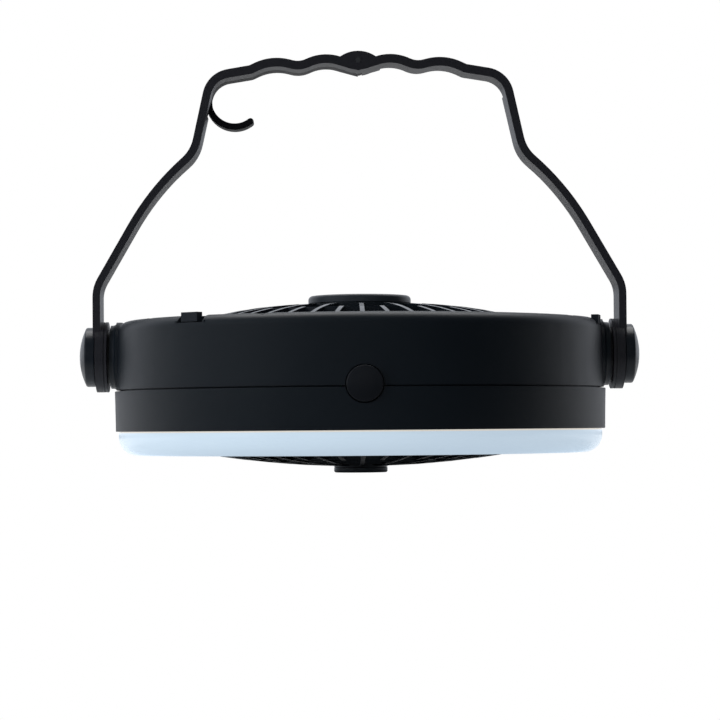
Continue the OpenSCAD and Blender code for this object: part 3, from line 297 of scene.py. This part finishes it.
# Battery cells: three in the bays of the rear casing, each in a shrunk sleeve.
# The sleeve is a satin film, gold over most of its length and dark round the flat end.
bay_angles = (227.5, 347.5, 107.5)
gold_from = -0.013  # metres along the cell from its middle
film_mm, film_relief_mm = 3, 0.02
for number, angle in enumerate(bay_angles, 1):
    material, tree = new_material("shrunk_sleeve_%d" % number)
    place = add(tree, "ShaderNodeTexCoord").outputs["Object"]
    turned = add(tree, "ShaderNodeMapping", {"Rotation": (0, 0, -math.radians(angle))}, {"Vector": place})
    along = add(tree, "ShaderNodeSeparateXYZ", {}, {0: turned.outputs["Vector"]})
    gold_end = add(tree, "ShaderNodeMath", {"operation": "GREATER_THAN", 1: gold_from}, {0: along.outputs["Y"]})
    film = add(tree, "ShaderNodeTexNoise", {"Scale": 1000 / film_mm, "Detail": 2}, {"Vector": place})
    tone = add(tree, "ShaderNodeMix", {"data_type": "RGBA", 6: linear("#24262A"), 7: linear("#C8A13C")},
               {0: gold_end.outputs[0]})
    relief = add(tree, "ShaderNodeBump", {"Strength": 0.4, "Distance": film_relief_mm / 1000},
                 {"Height": film.outputs["Fac"]})
    skin = add(tree, "ShaderNodeBsdfPrincipled", {"Metallic": 0.5, "Roughness": 0.32, "Coat Weight": 0.4},
               {"Base Color": tone.outputs[2], "Normal": relief.outputs["Normal"]})
    add(tree, "ShaderNodeOutputMaterial", {}, {"Surface": skin.outputs["BSDF"]})
    dressed(material, "battery_cell_%d" % number)

# Contacts and fasteners: coil springs and plates in the bays, screws and washers.
# Nickel-plated steel wire and sheet, bright with a slightly warm tint, and greyer zinc-plated screws.
nickel = worked("nickel_plated_steel", "#CFD0CE", 0.2, 0.4)
dressed(nickel, "contact_springs", "contact_plates", "retaining_washers")
dressed(zinc_steel, "casing_screws", "pivot_screws", "light_board_screws")

# Leads: stranded wire in soft sleeves, from the bays and the board to the motor and the light.
# PVC, red on the supply side and black to the light, with the slight ripple of the strands under it.
dressed(moulded("red_pvc", "#A3241C", 0.42, 0.9, 0.02), "motor_leads", "battery_leads")
dressed(moulded("black_pvc", "#1B1B1D", 0.42, 0.9, 0.02), "light_leads")

# Handle: a flat strap that swings round the head on two eyes, bent into finger waves at the grip.
# Black polypropylene with a bluish cast, satin, with the sides of the strap left smooth.
handle_pp = moulded("black_polypropylene", "#23242A", 0.42, 0.6, 0.008, IOR=1.49)
softened("handle_band", "handle", handle_pp, 0.45)

# Hook: an arm that lies half-lapped in the grip's left half and swings out on a steel pin.
# Black polypropylene like the handle and duller, coloured darker than the handle as painted shade for the
# shadow under the arm.
# The darker colour is painted shade; the higher roughness is the duller skin
hook_pp = moulded("matt_polypropylene_painted_shade", "#0E0F14", 0.6, 0.5, 0.012, IOR=1.49)
softened("handle_hook", "hook", hook_pp, 0.45)

# Hook pin: a plain pin pressed through the pointed oval of the grip, its ends ground bright.
dressed(bright_steel, "hook_pin")

# Knob caps: the domed caps over the handle's pivots, pressed over the ends of the side bosses.
# Black ABS, semi-gloss, so that the dome and its edge each carry a soft glint.
knob_abs = moulded("semi_gloss_abs", "#1A2027", 0.3, 0.7, 0.006)
for side in ("left", "right"):
    softened("knob_cap_" + side, "housing", knob_abs, 0.4)

# Friction washers: thin rings between the bosses and the eyes, which hold the handle where it is put.
# Black acetal, turned and left as cut, so it has a low slippery shine.
dressed(moulded("turned_acetal", "#17181A", 0.4, 0.5, 0.01, IOR=1.48), "friction_washers")

# Studio: a wide white table under a white sweep. The room behind the camera is dark, so the black
# plastic facing it stays black and shows the white sweep along its edges.
table_half = 8
table_drop = 0.0006  # keeps the table just clear of the lowest cap
floor_mesh = bpy.data.meshes.new("floor")
b = bmesh.new()
bmesh.ops.create_grid(b, x_segments=1, y_segments=1, size=table_half)
bmesh.ops.translate(b, verts=b.verts, vec=(0, 0, -table_drop))
b.to_mesh(floor_mesh)
b.free()
floor = bpy.data.objects.new("floor", floor_mesh)
bpy.context.scene.collection.objects.link(floor)
material, tree = new_material("white_table")
# The table's colour is painted dark in front of the fan and pale behind it, a painted shade; to the camera it
# shows plain white
where = add(tree, "ShaderNodeSeparateXYZ", {}, {0: add(tree, "ShaderNodeTexCoord").outputs["Object"]})
painted_table_shade = add(tree, "ShaderNodeMapRange", {
    "interpolation_type": "SMOOTHSTEP", "From Min": -0.16, "From Max": 0.04, "To Min": 0.02, "To Max": 0.85
}, {"Value": where.outputs["Y"]})
ray = add(tree, "ShaderNodeLightPath")
matt = add(tree, "ShaderNodeBsdfDiffuse", {}, {"Color": painted_table_shade.outputs["Result"]})
glow = add(tree, "ShaderNodeEmission", {"Color": (1, 1, 1, 1), "Strength": 1.0})
both = add(tree, "ShaderNodeMixShader", {}, {
    0: ray.outputs["Is Camera Ray"], 1: matt.outputs[0], 2: glow.outputs[0]
})
add(tree, "ShaderNodeOutputMaterial", {}, {"Surface": both.outputs[0]})
floor_mesh.materials.append(material)

world = bpy.data.worlds.new("studio")
bpy.context.scene.world = world
world.use_nodes = True
tree = world.node_tree
tree.nodes.clear()
# The sweep stands behind the fan, and a dim window far to its left
way = add(tree, "ShaderNodeSeparateXYZ", {}, {0: add(tree, "ShaderNodeTexCoord").outputs["Generated"]})
sweep = add(tree, "ShaderNodeMapRange", {
    "interpolation_type": "SMOOTHSTEP", "From Min": 0.0, "From Max": 0.75, "To Min": 0.035, "To Max": 0.8
}, {"Value": way.outputs["Y"]})
window = add(tree, "ShaderNodeMapRange", {
    "interpolation_type": "SMOOTHSTEP", "From Min": -0.2, "From Max": -0.95, "To Min": 0.0, "To Max": 0.32
}, {"Value": way.outputs["X"]})
room = add(tree, "ShaderNodeMath", {"operation": "MAXIMUM"}, {0: sweep.outputs[0], 1: window.outputs[0]})
soft = add(tree, "ShaderNodeBackground", {"Color": linear("#F1F6FF")}, {"Strength": room.outputs[0]})
bright = add(tree, "ShaderNodeBackground", {"Color": (1, 1, 1, 1), "Strength": 1.0})
ray = add(tree, "ShaderNodeLightPath")
sky = add(tree, "ShaderNodeMixShader", {}, {
    0: ray.outputs["Is Camera Ray"], 1: soft.outputs[0], 2: bright.outputs[0]
})
add(tree, "ShaderNodeOutputWorld", {}, {"Surface": sky.outputs[0]})


def softbox(name, place, aim, size, power):
    lamp = bpy.data.lights.new(name, "AREA")
    lamp.shape = "RECTANGLE"
    lamp.size, lamp.size_y = size
    lamp.energy = power
    box = bpy.data.objects.new(name, lamp)
    box.location = place
    box.rotation_euler = (Vector(aim) - Vector(place)).to_track_quat("-Z", "Y").to_euler()
    bpy.context.scene.collection.objects.link(box)
    return box


softbox("overhead_softbox", (0.0, 0.35, 1.2), (0, 0, 0.05), (1.4, 0.8), 9)
# Two fills light the black plastic but don't mirror in it
front_fill = softbox("front_fill", (-0.2, -1.3, 0.35), (0, 0, 0.02), (1.2, 0.8), 5)
left_fill = softbox("left_softbox", (-1.1, -0.7, 0.25), (0, 0, 0.04), (0.5, 0.9), 7)
for fill in (front_fill, left_fill):
    fill.visible_glossy = False

# Camera: level with the light ring, a metre away and a degree to the left of the button
distance = 0.981
eye_height = 0.0171
turn = math.radians(1.0)
pitch = math.radians(1.43)
lean = math.radians(-0.46)
sensor_mm = 36
focal_to_sensor = 3.675
lens = bpy.data.cameras.new("camera")
lens.sensor_width = sensor_mm
lens.lens = focal_to_sensor * sensor_mm
lens.clip_start = 0.01
camera = bpy.data.objects.new("camera", lens)
camera.location = (-distance * math.sin(turn), -distance * math.cos(turn), eye_height)
look = Vector((math.sin(turn) * math.cos(pitch), math.cos(turn) * math.cos(pitch), math.sin(pitch)))
roll = Matrix.Rotation(lean, 3, "Z")
camera.rotation_euler = (look.to_track_quat("-Z", "Y").to_matrix() @ roll).to_euler()
bpy.context.scene.collection.objects.link(camera)
bpy.context.scene.camera = camera
bpy.context.scene.view_settings.view_transform = "Standard"
